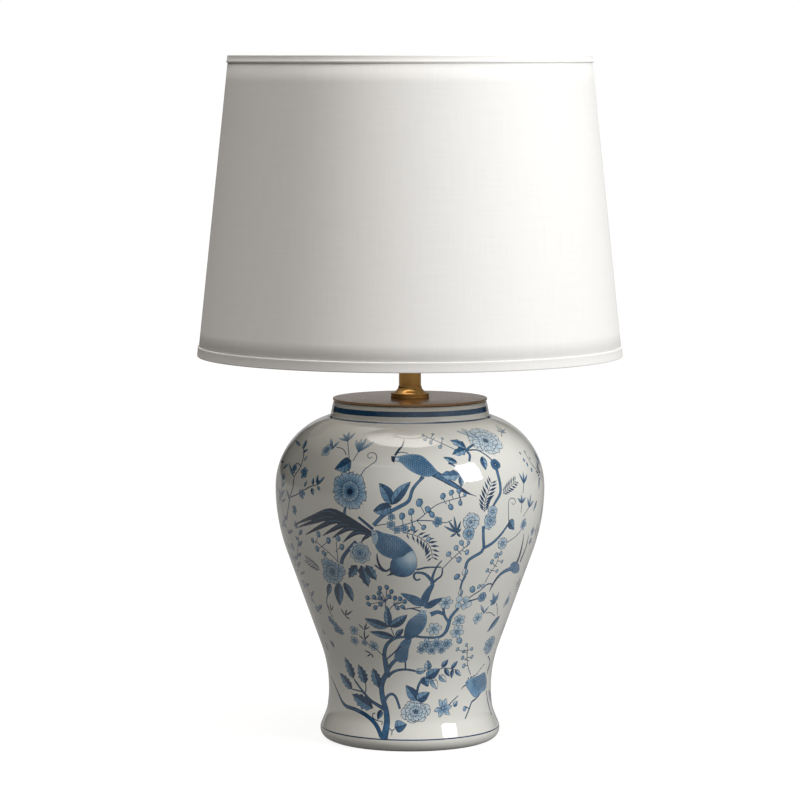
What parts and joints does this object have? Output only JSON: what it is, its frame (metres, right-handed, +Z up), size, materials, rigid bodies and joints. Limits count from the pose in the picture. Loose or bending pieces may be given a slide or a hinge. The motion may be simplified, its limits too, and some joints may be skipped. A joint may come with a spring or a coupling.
{
  "type": "table lamp",
  "caption": "Baluster ginger jar table lamp with painted glazed jar, brass cap and neck, screw lampholder, wire shade carrier and tapered drum shade.",
  "frame": {"origin": "centre of the felt base, on the surface that the lamp stands on", "axes": "+Z up along the lamp's axis; -Y is the front; the cord entry is at the back, +Y"},
  "size_m": [0.3799, 0.38, 0.612],
  "materials": {
    "glaze": "white glaze over blue painted birds, flowers and branches",
    "felt": "dark felt",
    "gland_plastic": "moulded",
    "soft_rubber": "black",
    "steel": "zinc plated",
    "block_plastic": "moulded",
    "brass": "aged, satin",
    "plain_brass": "plain",
    "live_brown": "wire insulation",
    "neutral_blue": "wire insulation",
    "earth_green": "wire insulation, striped",
    "carrier_wire": "plated steel wire",
    "shade_cloth": "woven, hard backed",
    "shade_lining": "white styrene",
    "trim_tape": "folded self tape",
    "white_wire": "white epoxy",
    "bulb_metal": "plated screw cap",
    "bulb_body": "white",
    "bulb_white": "opal diffuser"
  },
  "bodies": {
    "lamp": {"jar": "glaze", "base_felt": "felt", "cap_gasket": "felt", "cord_gland": "gland_plastic", "gland_nut": "gland_plastic", "floor_gasket": "soft_rubber", "tension_plate": "steel", "lock_washer": "steel", "base_nut": "steel", "stem_rod": "steel", "terminal_screws": "steel", "holder_screws": "steel", "holder_grub_screw": "steel", "terminal_block": "block_plastic", "holder_insert": "block_plastic", "jar_cap": "brass", "neck_base": "brass", "neck_tube": "brass", "tube_washer": "brass", "holder_cap": "brass", "holder_skirt": "brass", "lower_shade_ring": "brass", "cap_spigot": "plain_brass", "earth_tag": "plain_brass", "centre_contact": "plain_brass", "screw_shell": "plain_brass", "live_wire": "live_brown", "neutral_wire": "neutral_blue", "earth_wire": "earth_green"},
    "switch": {"switch_bar": "brass"},
    "clamp_ring": {"upper_shade_ring": "brass"},
    "carrier": {"carrier_plate": "carrier_wire", "carrier_legs": "carrier_wire", "carrier_ring": "carrier_wire"},
    "shade": {"shade_fabric": "shade_cloth", "shade_liner": "shade_lining", "shade_top_wire": "white_wire", "shade_bottom_wire": "white_wire", "shade_top_trim": "trim_tape", "shade_bottom_trim": "trim_tape", "duplex_ring": "white_wire", "duplex_arms": "white_wire"},
    "bulb": {"bulb_contact": "bulb_metal", "bulb_insulator": "block_plastic", "bulb_cap": "bulb_metal", "bulb_collar": "bulb_body", "bulb_glass": "bulb_white"}
  },
  "joints": [
    {"name": "switch_push", "type": "slide", "parent": "lamp", "child": "switch", "axis": [-1, 0, 0], "range_m": [0, 0.006]},
    {"name": "clamp_ring_turn", "type": "hinge", "parent": "lamp", "child": "clamp_ring", "pos_m": [0, 0, 0.42], "axis": [0, 0, 1], "continuous": true},
    {"name": "carrier_turn", "type": "hinge", "parent": "lamp", "child": "carrier", "pos_m": [0, 0, 0.42], "axis": [0, 0, 1], "continuous": true},
    {"name": "shade_lift", "type": "slide", "parent": "carrier", "child": "shade", "axis": [0, 0, 1], "range_m": [0, 0.3]},
    {"name": "bulb_out", "type": "slide", "parent": "lamp", "child": "bulb", "axis": [0, 0, 1], "range_m": [0, 0.25]}
  ]
}
